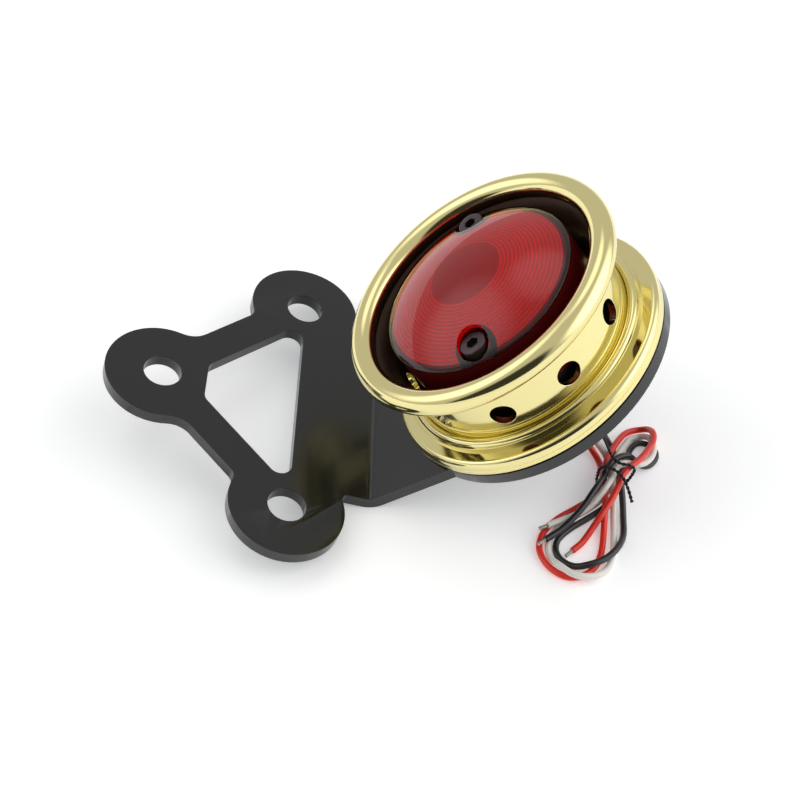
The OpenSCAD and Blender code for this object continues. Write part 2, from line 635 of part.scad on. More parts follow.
module washer(side) color([0.78, 0.79, 0.8]) below_pad(side, washer_t) difference() {
    cylinder(d = washer_d, h = washer_t, $fn = 64);
    translate([0, 0, -cut]) cylinder(r = stud_r + loose, h = washer_t + 2 * cut, $fn = 48);
}
module washer_near() washer(-1);
module washer_far() washer(1);

module spring_washer(side) color([0.6, 0.61, 0.63]) below_pad(side, washer_t + spring_t) difference() {
    cylinder(r = spring_r, h = spring_t, $fn = 64);
    translate([0, 0, -cut]) cylinder(r = stud_r + loose, h = spring_t + 2 * cut, $fn = 48);
    rotate([0, 0, 70]) translate([0, -spring_gap / 2, -cut])
        cube([spring_r + cut, spring_gap, spring_t + 2 * cut]);
}
module spring_washer_near() spring_washer(-1);
module spring_washer_far() spring_washer(1);

// Hexagon nut with its corners turned off to a cone on both faces
module nut(side) color([0.78, 0.79, 0.8]) below_pad(side, washer_t + spring_t + nut_t) difference() {
    intersection() {
        cylinder(r = nut_w / sqrt(3), h = nut_t, $fn = 6);
        rotate_extrude($fn = 64) polygon([
            [0, 0], [nut_w / 2, 0], [nut_w / sqrt(3), nut_w / 14], [nut_w / sqrt(3), nut_t - nut_w / 14],
            [nut_w / 2, nut_t], [0, nut_t]
        ]);
    }
    translate([0, 0, -cut]) cylinder(r = stud_r + slip, h = nut_t + 2 * cut, $fn = 48);
}
module nut_near() nut(-1);
module nut_far() nut(1);

module cable_grommet() color([0.07, 0.07, 0.07]) on_lamp() difference() {
    union() {
        translate([0, 0, exit_z]) cylinder(d = grommet_d, h = grommet_t, $fn = 64);
        translate([0, 0, -seat_h]) cylinder(r = grommet_neck_r, h = seat_h + floor_t, $fn = 64);
    }
    translate([0, 0, exit_z - cut]) cylinder(d = grommet_bore, h = grommet_t + seat_h + floor_t + 2 * cut, $fn = 48);
}

module inner_leads() color([0.5, 0.1, 0.1]) on_lamp() translate([0, 0, exit_z]) at_leads()
    cylinder(d = lead_d, h = board_z - exit_z, $fn = 24);

// Free leads
function exit_point(k, down) = lamp_point([
    lead_offset * cos(lead_angles[k]), lead_offset * sin(lead_angles[k]), exit_z - down
]);
function full_route(k, route) = concat([exit_point(k, 0), exit_point(k, 2 * lead_d)], route);

// Smooth curve through the points of a route, kept on the ground
function spline(p, i, t) =
    let (
        n = len(p) - 1,
        a = p[max(i - 1, 0)], b = p[i], c = p[i + 1], d = p[min(i + 2, n)]
    )
    0.5 * (2 * b + (c - a) * t + (2 * a - 5 * b + 4 * c - d) * t * t + (3 * b - a - 3 * c + d) * t * t * t);
function lifted(p, r) = [p.x, p.y, max(p.z, r)];
function smooth(p, steps, r) = concat(
    [for (i = [0:len(p) - 2]) for (s = [0:steps - 1]) lifted(spline(p, i, s / steps), r)], [p[len(p) - 1]]
);
function unit(v) = v / norm(v);
function heading(p, i) = unit(p[min(i + 1, len(p) - 1)] - p[max(i - 1, 0)]);
function carried(side, along) = unit(side - along * (side * along));
function sides(p, i, last) =
    let (now = carried(last, heading(p, i)))
    i == len(p) - 1 ? [now] : concat([now], sides(p, i + 1, now));

// Round tube of one piece along a line of points
module tube(p, d, n) {
    across = sides(p, 0, [0, 1, 0]);
    rings = len(p);
    points = [
        for (i = [0:rings - 1]) for (k = [0:n - 1])
            let (a = 360 * k / n, u = across[i], v = cross(heading(p, i), u))
                p[i] + d / 2 * (u * cos(a) + v * sin(a))
    ];
    walls = [
        for (i = [0:rings - 2]) for (k = [0:n - 1])
            let (a = i * n + k, b = i * n + (k + 1) % n)
                each [[a, a + n, b], [b, a + n, b + n]]
    ];
    caps = [
        for (k = [1:n - 2]) each [[0, k, k + 1], [(rings - 1) * n, (rings - 1) * n + k + 1, (rings - 1) * n + k]]
    ];
    polyhedron(points = points, faces = concat(walls, caps));
}

path_red = smooth(full_route(0, route_red), route_steps, lead_d / 2);
path_black = smooth(full_route(1, route_black), route_steps, lead_d / 2);
path_white = smooth(full_route(2, route_white), route_steps, lead_d / 2);
path_tie = smooth(route_tie, tie_steps, tie_d / 2);

module lead_red() color([0.8, 0.12, 0.1]) tube(path_red, lead_d, cord_sides);
module lead_black() color([0.1, 0.1, 0.1]) tube(path_black, lead_d, cord_sides);
module lead_white() color([0.92, 0.92, 0.9]) tube(path_white, lead_d, cord_sides);

// Tinned strands that carry on from the end of a lead
module bare_end(p) color([0.75, 0.75, 0.76]) {
    tip = p[len(p) - 1];
    way = heading(p, len(p) - 1);
    translate(tip) rotate([0, acos(way.z), atan2(way.y, way.x)]) cylinder(d = strand_d, h = strand_l, $fn = 24);
}
module bare_end_red() bare_end(path_red);
module bare_end_black() bare_end(path_black);
module bare_end_white() bare_end(path_white);

module wire_tie() color([0.1, 0.1, 0.1]) tube(path_tie, tie_d, 6);

// Lengths of the leads, and the least gap of each lead to itself and to its neighbours
function path_length(p) = let (steps = [for (i = [1:len(p) - 1]) norm(p[i] - p[i - 1])]) steps * [for (s = steps) 1];
function own_gap(p, d) = min([
    for (i = [0:len(p) - 1]) for (j = [i + 4:1:len(p) - 1]) norm(p[i] - p[j])
]) - d;
function gap_between(p, q, d) = min([for (a = p) for (b = q) norm(a - b)]) - d;

union() {
    echo(lamp_tilt = lamp_tilt, plate_tilt = plate_tilt, middle_x = middle_x, ground_lift = ground_lift);
    echo(lengths = [for (p = [path_red, path_black, path_white, path_tie]) path_length(p)]);
    echo(own_gaps = [for (p = [path_red, path_black, path_white]) own_gap(p, lead_d)]);
    echo(neighbour_gaps = [
        gap_between(path_red, path_black, lead_d), gap_between(path_red, path_white, lead_d),
        gap_between(path_black, path_white, lead_d)
    ]);
    echo(bolt_holes = [for (c = [[0, 0], [ear_reach, ear_y], [ear_reach, -ear_y]]) plate_point([c.x, c.y, plate_t / 2])]);
    echo(plate_axis = [sin(plate_tilt), 0, cos(plate_tilt)], lamp_axis = [-sin(lamp_tilt), 0, cos(lamp_tilt)]);
    echo(screw_points = [for (side = [-1, 1]) lamp_point([0, side * screw_offset, screw_seat_z])]);
    echo(lead_exit = lamp_point([0, 0, exit_z]), stud_ends = [for (side = [-1, 1]) lamp_point([side * stud_pitch / 2, 0, -seat_h - stud_out])]);
}

bracket();
base_gasket();
housing();
lens_tray();
lens_gasket();
lens();
lens_screw_1();
lens_screw_2();
screw_washer_1();
screw_washer_2();
standoff_1();
standoff_2();
led_board();
leds();
resistors();
diode();
solder_joints();
stud_near();
stud_far();
washer_near();
washer_far();
spring_washer_near();
spring_washer_far();
nut_near();
nut_far();
cable_grommet();
inner_leads();
lead_red();
lead_black();
lead_white();
bare_end_red();
bare_end_black();
bare_end_white();
wire_tie();
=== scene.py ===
import math

import bmesh
import bpy
from mathutils import Matrix, Quaternion, Vector


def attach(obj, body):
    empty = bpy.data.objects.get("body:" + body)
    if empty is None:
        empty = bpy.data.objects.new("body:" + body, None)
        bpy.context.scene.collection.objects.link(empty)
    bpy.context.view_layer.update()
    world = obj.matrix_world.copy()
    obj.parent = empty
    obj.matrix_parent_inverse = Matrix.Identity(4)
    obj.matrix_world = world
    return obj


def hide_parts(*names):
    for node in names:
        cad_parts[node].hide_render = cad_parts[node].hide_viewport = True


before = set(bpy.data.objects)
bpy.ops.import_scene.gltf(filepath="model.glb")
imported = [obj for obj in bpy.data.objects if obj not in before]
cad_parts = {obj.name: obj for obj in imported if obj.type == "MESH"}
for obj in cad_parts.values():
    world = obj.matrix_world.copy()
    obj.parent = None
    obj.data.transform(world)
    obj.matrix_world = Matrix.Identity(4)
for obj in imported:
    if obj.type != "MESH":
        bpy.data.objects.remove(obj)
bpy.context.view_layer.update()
bpy.ops.object.select_all(action="DESELECT")


# Camera. It stands in front of the light and looks down on it at 48 degrees,
# from a little under half a metre away.
EYE = Vector((0.01115, -0.27109, 0.30948))
AIM = Vector((0.00543, 0.01239, -0.00273))
bpy.ops.object.camera_add(location=EYE)
camera = bpy.context.object
camera.name = "camera"
camera.rotation_mode = "QUATERNION"
camera.rotation_quaternion = (AIM - EYE).to_track_quat("-Z", "Y")
camera.data.sensor_width = 36
camera.data.lens = 65.2
camera.data.clip_start = 0.01
bpy.context.scene.camera = camera


# Free leads. Stranded copper in soft PVC insulation, 1.8 mm over all. They leave the grommet under
# the lamp, reach the ground, and lie there in two loops that a tie holds together in the middle.
def hex_colour(code):
    """An sRGB hex code as linear red, green and blue, with full alpha."""
    parts = [int(code[i:i + 2], 16) / 255 for i in (0, 2, 4)]
    return [p / 12.92 if p <= 0.04045 else ((p + 0.055) / 1.055) ** 2.4 for p in parts] + [1.0]


def add_node(tree, kind, inputs=None, links=None, **settings):
    """Adds a shader node, with its settings, its sockets' values and what is linked to them."""
    node = tree.nodes.new(kind)
    for name, value in settings.items():
        setattr(node, name, value)
    for name, value in (inputs or {}).items():
        node.inputs[name].default_value = value
    for name, source in (links or {}).items():
        tree.links.new(source, node.inputs[name])
    return node


def start_material(name, inputs):
    """A new material. Returns it with its node tree and its shader."""
    material = bpy.data.materials.new(name)
    material.use_nodes = True
    shader = material.node_tree.nodes["Principled BSDF"]
    for socket, value in inputs.items():
        shader.inputs[socket].default_value = value
    return material, material.node_tree, shader


def vary_gloss(tree, shader, scale, detail, low, high):
    """Lets the roughness wander between two values, with a grain fixed to the object."""
    coords = add_node(tree, "ShaderNodeTexCoord")
    grain = add_node(tree, "ShaderNodeTexNoise", {"Scale": scale, "Detail": detail},
                     {"Vector": coords.outputs["Object"]})
    spread = add_node(tree, "ShaderNodeMapRange", {"To Min": low, "To Max": high},
                      {"Value": grain.outputs["Fac"]})
    tree.links.new(spread.outputs["Result"], shader.inputs["Roughness"])


def roughen(tree, shader, scale, detail, strength, distance):
    """Raises a faint grain on the surface, this high in metres. Returns its bump node."""
    coords = add_node(tree, "ShaderNodeTexCoord")
    grain = add_node(tree, "ShaderNodeTexNoise", {"Scale": scale, "Detail": detail},
                     {"Vector": coords.outputs["Object"]})
    bump = add_node(tree, "ShaderNodeBump", {"Strength": strength, "Distance": distance},
                    {"Height": grain.outputs["Fac"]})
    tree.links.new(bump.outputs["Normal"], shader.inputs["Normal"])
    return bump


LAMP_TILT = math.radians(32.6136)
LAMP_AXIS = Vector((-math.sin(LAMP_TILT), 0, math.cos(LAMP_TILT)))
LAMP_FOOT = Vector((40.3051, 0, 30.8099))
LAMP_TURN = Matrix.Rotation(-LAMP_TILT, 4, "Y")


def lamp_point(x, y, z):
    """A point given in mm from the middle of the housing's underside, in the row frame, in mm."""
    return LAMP_FOOT + LAMP_TURN @ Vector((x, y, z))


def smooth_route(points, steps, lowest):
    """A smooth line through a route's points, never lower than it can lie on the ground."""
    line = []
    last = len(points) - 1
    for i in range(last):
        a, b, c, d = points[max(i - 1, 0)], points[i], points[i + 1], points[min(i + 2, last)]
        for s in range(steps):
            t = s / steps
            p = 0.5 * (2 * b + (c - a) * t + (2 * a - 5 * b + 4 * c - d) * t ** 2
                       + (3 * b - a - 3 * c + d) * t ** 3)
            line.append(Vector((p.x, p.y, max(p.z, lowest))))
    return line + [points[last]]


def round_line(name, lines, radius, sides):
    """A curve piece of round section along each line of points, given in mm."""
    curve = bpy.data.curves.new(name, "CURVE")
    curve.dimensions = "3D"
    curve.bevel_depth = radius / 1000
    curve.bevel_resolution = sides
    curve.use_fill_caps = True
    for line in lines:
        spline = curve.splines.new("POLY")
        spline.points.add(len(line) - 1)
        for point, p in zip(spline.points, line):
            point.co = (p.x / 1000, p.y / 1000, p.z / 1000, 1)
        spline.use_smooth = True
    piece = bpy.data.objects.new(name, curve)
    bpy.context.scene.collection.objects.link(piece)
    return piece


def twisted(line, strands, radius, pitch):
    """Lines of strands that wind round a line of points, one turn in every pitch of its length."""
    across = Vector((0, 0, 1)).cross(line[1] - line[0]).normalized()
    run, turned = 0.0, [[] for _ in range(strands)]
    for i, p in enumerate(line):
        along = (line[min(i + 1, len(line) - 1)] - line[max(i - 1, 0)]).normalized()
        across = (across - along * across.dot(along)).normalized()
        run += (p - line[i - 1]).length if i else 0.0
        for k in range(strands):
            turn = Quaternion(along, 2 * math.pi * (run / pitch + k / strands))
            turned[k].append(p + turn @ across * radius)
    return turned


# Sizes in mm. Each lead has the angle round the lamp's axis at which it leaves the grommet, and its
# route from there in the row frame.
LEAD_RADIUS = 0.9
LEAD_SPREAD = 1.35
EXIT_HEIGHT = -6.1
BARE_LENGTH = 2.6
STRAND_RADIUS = 0.18
STRAND_LAY_RADIUS = 0.34
STRAND_PITCH = 5.0
ROUTE_STEPS = 8
LEAD_ROUTES = {
    "red": (-90, [
        (49.3, -1.9, 16.4), (53, -3.6, 10.2), (56.3, -6, 5), (59.2, -9, 1.6), (60.8, -12.2, 0.9),
        (61.4, -15.6, 1.3), (61.5, -19, 2), (61, -22, 2), (58.6, -25.6, 1), (53.6, -29.4, 0.9),
        (48.6, -33, 0.9), (44.6, -37.6, 0.9), (43.2, -43, 0.9), (45.2, -48.4, 0.9),
        (49.6, -51.8, 0.9), (54.2, -51.4, 0.9), (57.6, -48.4, 0.9), (59.4, -44, 0.9),
        (60.4, -38.4, 0.9), (60.9, -33.6, 2.2), (61.3, -29.6, 3.4), (61.4, -25.8, 4.2),
        (61.4, -22, 4.4), (61.9, -18.2, 4.5), (63, -14.4, 4.2), (64.5, -10.8, 3.5), (66.4, -7.2, 3),
        (68.4, -4.2, 2.4), (70.6, -2.2, 1.6), (73, -1.6, 1.6), (75.3, -2.7, 3.1), (76.2, -5.4, 4.8),
        (75.8, -9, 5.5), (74, -12.6, 6.1), (71.4, -16.5, 6.7), (68.2, -19.7, 6.9), (66, -22.8, 6.7),
        (64.6, -26.2, 6.2), (62.6, -30.2, 5.7), (60.2, -33.8, 4.9), (57.6, -37, 2.6),
        (54.6, -40.8, 0.9), (51.9, -43.5, 0.9),
    ]),
    "black": (30, [
        (50.6, 0.2, 17.2), (55.4, -0.6, 11.2), (60, -2.2, 5.9), (63.4, -5.2, 2), (65.2, -9.2, 0.9),
        (65.8, -14, 0.9), (66, -19, 2), (65.6, -21.8, 2), (63.8, -25.6, 1), (60.8, -29.4, 0.9),
        (56.2, -33, 0.9), (51.6, -36.4, 0.9), (48.4, -39.8, 0.9), (47.5, -43.4, 0.9),
        (48.8, -46.6, 0.9), (52, -48.9, 1.4), (56.2, -49.2, 3), (60.4, -47.2, 3.1),
        (63.6, -43.6, 2.8), (65.6, -38.4, 1.1), (66.1, -32.8, 0.9), (66.2, -27.2, 2.4),
        (66, -22, 4.4), (66.5, -18.4, 4.4), (67.6, -15, 3.6), (68.9, -11.6, 2.2), (70.1, -8.4, 1.1),
        (71.8, -6.3, 0.9), (73.9, -6, 0.9), (76.1, -7.2, 0.9), (77, -9.4, 0.9), (76.6, -11.8, 0.9),
        (75, -13.8, 0.9), (72.9, -14.8, 1.6), (70.8, -14.8, 3.5), (68.5, -14.8, 5.8),
        (66, -15.8, 6.6), (63.6, -17.8, 6.7), (61.9, -20.6, 6.7), (61.1, -23, 6.7),
        (59.5, -25.7, 7), (57.6, -28.6, 6.6), (55.4, -31.8, 5.6), (52.6, -35, 4.4),
        (49, -38.4, 3.3), (44.8, -41.6, 3.1),
    ]),
    "white": (150, [
        (48.2, 0.4, 16.2), (52.8, -0.8, 9.9), (57.2, -3.4, 4.6), (61.3, -7.2, 1.4),
        (63.1, -10.8, 0.9), (63.7, -15, 1.2), (63.8, -19, 2), (63.3, -22, 2), (61.2, -25.6, 1),
        (57.2, -29.4, 0.9), (52.4, -32.8, 0.9), (48, -36.6, 0.9), (45.7, -41, 0.9),
        (45.9, -45.6, 1), (48.1, -49.6, 2.7), (52, -52.8, 3.1), (56.8, -52.4, 2.2),
        (60.6, -49.2, 0.9), (62.4, -44.6, 0.9), (63.1, -39, 0.9), (63.5, -33, 1.2),
        (63.7, -27.4, 3.2), (63.7, -22, 4.4), (64.2, -18.2, 4.5), (65.3, -14.6, 4.2),
        (66.8, -11.2, 3.3), (68.4, -8, 2.2), (70.1, -5.2, 1.4), (72.4, -3.9, 1), (74.4, -4.3, 1.9),
        (75.8, -6.4, 3), (76.3, -9.6, 3.1), (75.3, -12.8, 3.3), (73.6, -15.2, 3.9),
        (71.5, -16.6, 4.5), (69.2, -16.9, 5), (67, -17.8, 6.3), (65, -19.6, 6.8),
        (63.9, -21.6, 6.8), (63.3, -23.4, 6.7), (61.8, -25.8, 6.6), (59.5, -28.6, 5.2),
        (56.6, -31.2, 3.6), (53, -33.2, 2.9), (49, -35.2, 2.9), (45.6, -36.9, 3),
    ]),
}
INSULATION_COLOURS = {"red": "E62A14", "black": "161616", "white": "E9E6DE"}

# Tinned copper strands: bright soft grey metal, a little dull from handling.
tinned_copper, tree, shader = start_material("tinned copper strands", {
    "Base Color": hex_colour("B9B4AA"), "Metallic": 1.0, "Roughness": 0.3,
})
vary_gloss(tree, shader, 900.0, 3.0, 0.22, 0.45)

for colour, (angle, route) in LEAD_ROUTES.items():
    turn = math.radians(angle)
    start = lamp_point(LEAD_SPREAD * math.cos(turn), LEAD_SPREAD * math.sin(turn), EXIT_HEIGHT)
    points = [start, start - LAMP_AXIS * 4 * LEAD_RADIUS] + [Vector(p) for p in route]
    line = smooth_route(points, ROUTE_STEPS, LEAD_RADIUS)
    lead = round_line("pvc_lead_" + colour, [line], LEAD_RADIUS, 4)

    # Extruded PVC: a soft sheen, with a faint long waviness from the drawing of the wire.
    pvc, tree, shader = start_material("extruded PVC " + colour, {
        "Base Color": hex_colour(INSULATION_COLOURS[colour]), "Roughness": 0.38,
        "IOR": 1.54, "Coat Weight": 0.15, "Coat Roughness": 0.2,
    })
    roughen(tree, shader, 350.0, 2.0, 0.12, 0.0003)
    lead.data.materials.append(pvc)

    # Six strands are laid round one, and start a little inside the insulation.
    tip = line[-1]
    way = (line[-1] - line[-2]).normalized()
    core = [tip + way * BARE_LENGTH * (i / 12) for i in range(-2, 13)]
    strands = twisted(core, 6, STRAND_LAY_RADIUS, STRAND_PITCH)
    bare = round_line("strands_" + colour, strands + [core], STRAND_RADIUS, 1)
    bare.data.materials.append(tinned_copper)
    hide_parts("bare_end_" + colour)
    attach(bare, "base")

    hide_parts("lead_" + colour)
    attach(lead, "base")


# Tie. A short length of plastic-coated wire, folded double and twisted, goes once round the nine
# strands of the hank and its two ends lie loose above and below.
TIE_WIRE_RADIUS = 0.26
TIE_LAY_RADIUS = 0.24
TIE_PITCH = 2.6
TIE_ROUTE = [
    (61.6, -6.5, 5.6), (62, -9.5, 7.2), (62.5, -12.8, 8.3), (63.1, -16, 8.7), (64.1, -18.6, 8.8),
    (65.8, -20, 8.7), (67.9, -20.4, 8.6), (69.4, -20.7, 7.2), (68.8, -20.8, 4.4),
    (67.8, -20.9, 2.2), (66.6, -20.9, 0.7), (63.6, -20.9, 0.5), (60.7, -20.9, 0.6),
    (59.7, -20.8, 2.2), (59.7, -20.7, 4.6), (59.9, -20.7, 7), (61, -20.9, 8.4), (63, -21.6, 8.6),
    (65, -23.2, 8.5), (66.4, -25.4, 7.9), (67.4, -27.8, 6.6), (68.2, -30.2, 5),
]
tie_line = smooth_route([Vector(p) for p in TIE_ROUTE], ROUTE_STEPS,
                        TIE_LAY_RADIUS + TIE_WIRE_RADIUS)
tie = round_line("twist_tie", twisted(tie_line, 2, TIE_LAY_RADIUS, TIE_PITCH),
                 TIE_WIRE_RADIUS, 2)
tie_plastic, tree, shader = start_material("plastic-coated tie wire", {
    "Base Color": hex_colour("151515"), "Roughness": 0.45, "IOR": 1.5,
})
roughen(tree, shader, 1500.0, 2.0, 0.2, 0.0001)
tie.data.materials.append(tie_plastic)
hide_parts("wire_tie")
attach(tie, "base")


# Bracket. Laser-cut steel plate, bent once and powder coated black: an even satin gloss over a
# very fine orange peel, with the cut edges slightly rounded by the coat.
def repaint(node, material):
    """Gives a CAD node its finished material."""
    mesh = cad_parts[node].data
    mesh.materials.clear()
    mesh.materials.append(material)


def work_on(piece):
    """Makes a piece the one that is selected and active."""
    bpy.ops.object.select_all(action="DESELECT")
    piece.select_set(True)
    bpy.context.view_layer.objects.active = piece


def use_modifier(piece, kind, **settings):
    """Adds a modifier to a piece and applies it."""
    work_on(piece)
    modifier = piece.modifiers.new("step", kind)
    for name, value in settings.items():
        setattr(modifier, name, value)
    bpy.ops.object.modifier_apply(modifier="step")


powder_coat, tree, shader = start_material("black powder coat", {
    "Base Color": hex_colour("111311"), "Roughness": 0.22, "IOR": 1.5,
    "Coat Weight": 0.2, "Coat Roughness": 0.08,
})
orange_peel = roughen(tree, shader, 900.0, 2.0, 0.04, 0.0002)
rounding = add_node(tree, "ShaderNodeBevel", {"Radius": 0.0004}, samples=4)
tree.links.new(rounding.outputs["Normal"], orange_peel.inputs["Normal"])
repaint("bracket", powder_coat)

# The plate itself, with the small round that blasting and the coat give to its edges.
work_on(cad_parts["bracket"])
bpy.ops.object.duplicate()
plate = bpy.context.object
plate.name = plate.data.name = "bent_plate"
bpy.ops.object.mode_set(mode="EDIT")
bpy.ops.mesh.select_all(action="SELECT")
bpy.ops.mesh.remove_doubles(threshold=0.000002)
bpy.ops.mesh.dissolve_limited(angle_limit=math.radians(1))
bpy.ops.object.mode_set(mode="OBJECT")
use_modifier(plate, "BEVEL", width=0.0003, segments=3, limit_method="ANGLE",
             angle_limit=math.radians(40))
bpy.ops.object.shade_smooth_by_angle(angle=math.radians(30))
use_modifier(plate, "WEIGHTED_NORMAL", keep_sharp=True, weight=100)
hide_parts("bracket")
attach(plate, "base")


# Gaskets and grommet. Moulded black rubber, matt, with the faint mottling of the mould. A flat
# gasket lies between pad and housing, a ring seals the lens, and the grommet guards the leads.
rubber, tree, shader = start_material("moulded black rubber", {
    "Base Color": hex_colour("121212"), "Roughness": 0.7, "IOR": 1.52,
})
roughen(tree, shader, 700.0, 3.0, 0.25, 0.0002)
for node in ("base_gasket", "lens_gasket", "cable_grommet"):
    repaint(node, rubber)


# Housing. Brass, spun and turned: a base with one fine groove and a round shoulder, a flat band, a
# lip and a rounded ring, then a straight wall with ten drilled holes and a flare that ends in a
# rolled bead. All of it is polished and lacquered outside; inside it is dull, with painted shade.
def arc_points(centre, radius, start, end, steps):
    """Points in mm on an arc, from one angle in degrees to another."""
    turns = [math.radians(start + (end - start) * i / steps) for i in range(steps + 1)]
    return [(centre[0] + radius * math.cos(t), centre[1] + radius * math.sin(t)) for t in turns]


def draw_line(name, points):
    """Starts a piece as a row of vertices, each drawn out of the last, in mm from the axis up."""
    bpy.ops.mesh.primitive_plane_add(size=0.001)
    piece = bpy.context.object
    piece.name = piece.data.name = name
    bpy.ops.object.mode_set(mode="EDIT")
    bpy.ops.mesh.merge(type="CENTER")
    x, z = 0.0, 0.0
    for i, (radius, height) in enumerate(points):
        step = {"value": ((radius - x) / 1000, 0, (height - z) / 1000)}
        if i:
            bpy.ops.mesh.extrude_vertices_move(TRANSFORM_OT_translate=step)
        else:
            bpy.ops.transform.translate(**step)
        x, z = radius, height
    return piece


def turn_on_lathe(piece, steps):
    """Spins the drawn line once round the upright axis into a closed skin."""
    bpy.ops.mesh.select_all(action="SELECT")
    bpy.ops.mesh.spin(steps=steps, angle=2 * math.pi, center=(0, 0, 0), axis=(0, 0, 1))
    bpy.ops.mesh.select_all(action="SELECT")
    bpy.ops.mesh.remove_doubles(threshold=0.000002)
    bpy.ops.mesh.normals_make_consistent(inside=False)
    bpy.ops.object.mode_set(mode="OBJECT")


def add_rod(radius, low, high, at=(0, 0), sides=48):
    """An upright cylinder in mm, for cutting with or to shape further."""
    bpy.ops.mesh.primitive_cylinder_add(
        vertices=sides, radius=radius / 1000, depth=(high - low) / 1000,
        location=(at[0] / 1000, at[1] / 1000, (low + high) / 2000))
    bpy.ops.object.transform_apply()
    return bpy.context.object


def combine(piece, others, operation):
    """Cuts a piece with others, or adds them to it, and takes the others away."""
    for other in others:
        use_modifier(piece, "BOOLEAN", operation=operation, object=other, solver="EXACT")
        bpy.data.objects.remove(other)


def set_in_lamp(piece, smooth_angle=30):
    """Shades a piece made upright at the origin, and leans it into its place on the lamp's axis."""
    work_on(piece)
    bpy.ops.object.shade_smooth_by_angle(angle=math.radians(smooth_angle))
    piece.matrix_world = Matrix.Translation(LAMP_FOOT / 1000) @ LAMP_TURN
    bpy.ops.object.transform_apply()


# The outline, as radius and height in mm above the underside, from the foot up.
BASE_RADIUS = 39.2
FOOT_ROUND = 0.3
GROOVE_HEIGHT = 1.5
GROOVE_DEPTH = 0.25
GROOVE_HALF_WIDTH = 0.12
SHOULDER_RADIUS = 1.6
BAND_HEIGHT = 4.3
LIP_RADIUS = 34.9
LIP_HEIGHT = 5.4
LIP_ROUND = 0.15
RING_CENTRE = (32.85, 4.8375)
RING_RADIUS = 1.4625
RING_TURN = 22.62
WALL_RADIUS = 31.5
BORE_RADIUS = 29.5
FLOOR_HEIGHT = 4
FLARE_CENTRE = (38.0, 18.356)
FLARE_RADII = (6.5, 8.5)
FLARE_TURN = 118
BEAD_CENTRE = (35.45, 26.9)
BEAD_RADIUS = 3.3

base_side = ([(0, 0)]
             + arc_points((BASE_RADIUS - FOOT_ROUND, FOOT_ROUND), FOOT_ROUND, 270, 360, 4)
             + [(BASE_RADIUS, GROOVE_HEIGHT - GROOVE_HALF_WIDTH),
                (BASE_RADIUS - GROOVE_DEPTH, GROOVE_HEIGHT),
                (BASE_RADIUS, GROOVE_HEIGHT + GROOVE_HALF_WIDTH)])
shoulder = arc_points((BASE_RADIUS - SHOULDER_RADIUS, BAND_HEIGHT - SHOULDER_RADIUS),
                      SHOULDER_RADIUS, 0, 90, 16)
lip = [(LIP_RADIUS, BAND_HEIGHT)] + arc_points(
    (LIP_RADIUS - LIP_ROUND, LIP_HEIGHT - LIP_ROUND), LIP_ROUND, 0, 90, 4)
wall_ring = arc_points(RING_CENTRE, RING_RADIUS, RING_TURN, 180 - RING_TURN, 20)
outer_flare = [q for q in arc_points(FLARE_CENTRE, FLARE_RADII[0], 180, FLARE_TURN, 20)
               if math.dist(q, BEAD_CENTRE) > BEAD_RADIUS]
inner_flare = [q for q in arc_points(FLARE_CENTRE, FLARE_RADII[1], FLARE_TURN, 180, 20)
               if math.dist(q, BEAD_CENTRE) > BEAD_RADIUS]
from_turn, to_turn = (
    math.degrees(math.atan2(q[1] - BEAD_CENTRE[1], q[0] - BEAD_CENTRE[0])) % 360
    for q in (outer_flare[-1], inner_flare[0]))
housing = draw_line("brass_housing", base_side + shoulder + lip + wall_ring + outer_flare
                    + arc_points(BEAD_CENTRE, BEAD_RADIUS, from_turn - 360, to_turn, 60)
                    + inner_flare + [(BORE_RADIUS, FLOOR_HEIGHT), (0, FLOOR_HEIGHT)])
turn_on_lathe(housing, 240)

# Holes: ten round the wall, one in the floor for the leads, and blind ones for studs and screws.
WALL_HOLES = 10
WALL_HOLE_RADIUS = 3.3
WALL_HOLE_HEIGHT = 12.7
FIRST_HOLE_ANGLE = 14.7
CABLE_HOLE_RADIUS = 5
STUD_OFFSET = 17
STUD_HOLE_RADIUS = 2.55
STUD_HOLE_DEPTH = 2.85
SCREW_OFFSET = 22.2
SCREW_HOLE_RADIUS = 2.05
SCREW_HOLE_BOTTOM = 1.15
drills = []
for i in range(WALL_HOLES):
    drill = add_rod(WALL_HOLE_RADIUS, 28, 33, sides=64)
    around = Matrix.Rotation(math.radians(FIRST_HOLE_ANGLE + 360 / WALL_HOLES * i), 4, "Z")
    lying = Matrix.Rotation(math.radians(90), 4, "Y")
    drill.matrix_world = Matrix.Translation((0, 0, WALL_HOLE_HEIGHT / 1000)) @ around @ lying
    bpy.ops.object.transform_apply()
    drills.append(drill)
drills.append(add_rod(CABLE_HOLE_RADIUS, -1, FLOOR_HEIGHT + 1, sides=64))
drills += [add_rod(STUD_HOLE_RADIUS, -1, STUD_HOLE_DEPTH, (x, 0))
           for x in (-STUD_OFFSET, STUD_OFFSET)]
drills += [add_rod(SCREW_HOLE_RADIUS, SCREW_HOLE_BOTTOM, FLOOR_HEIGHT + 1, (0, y))
           for y in (-SCREW_OFFSET, SCREW_OFFSET)]
combine(housing, drills, "DIFFERENCE")

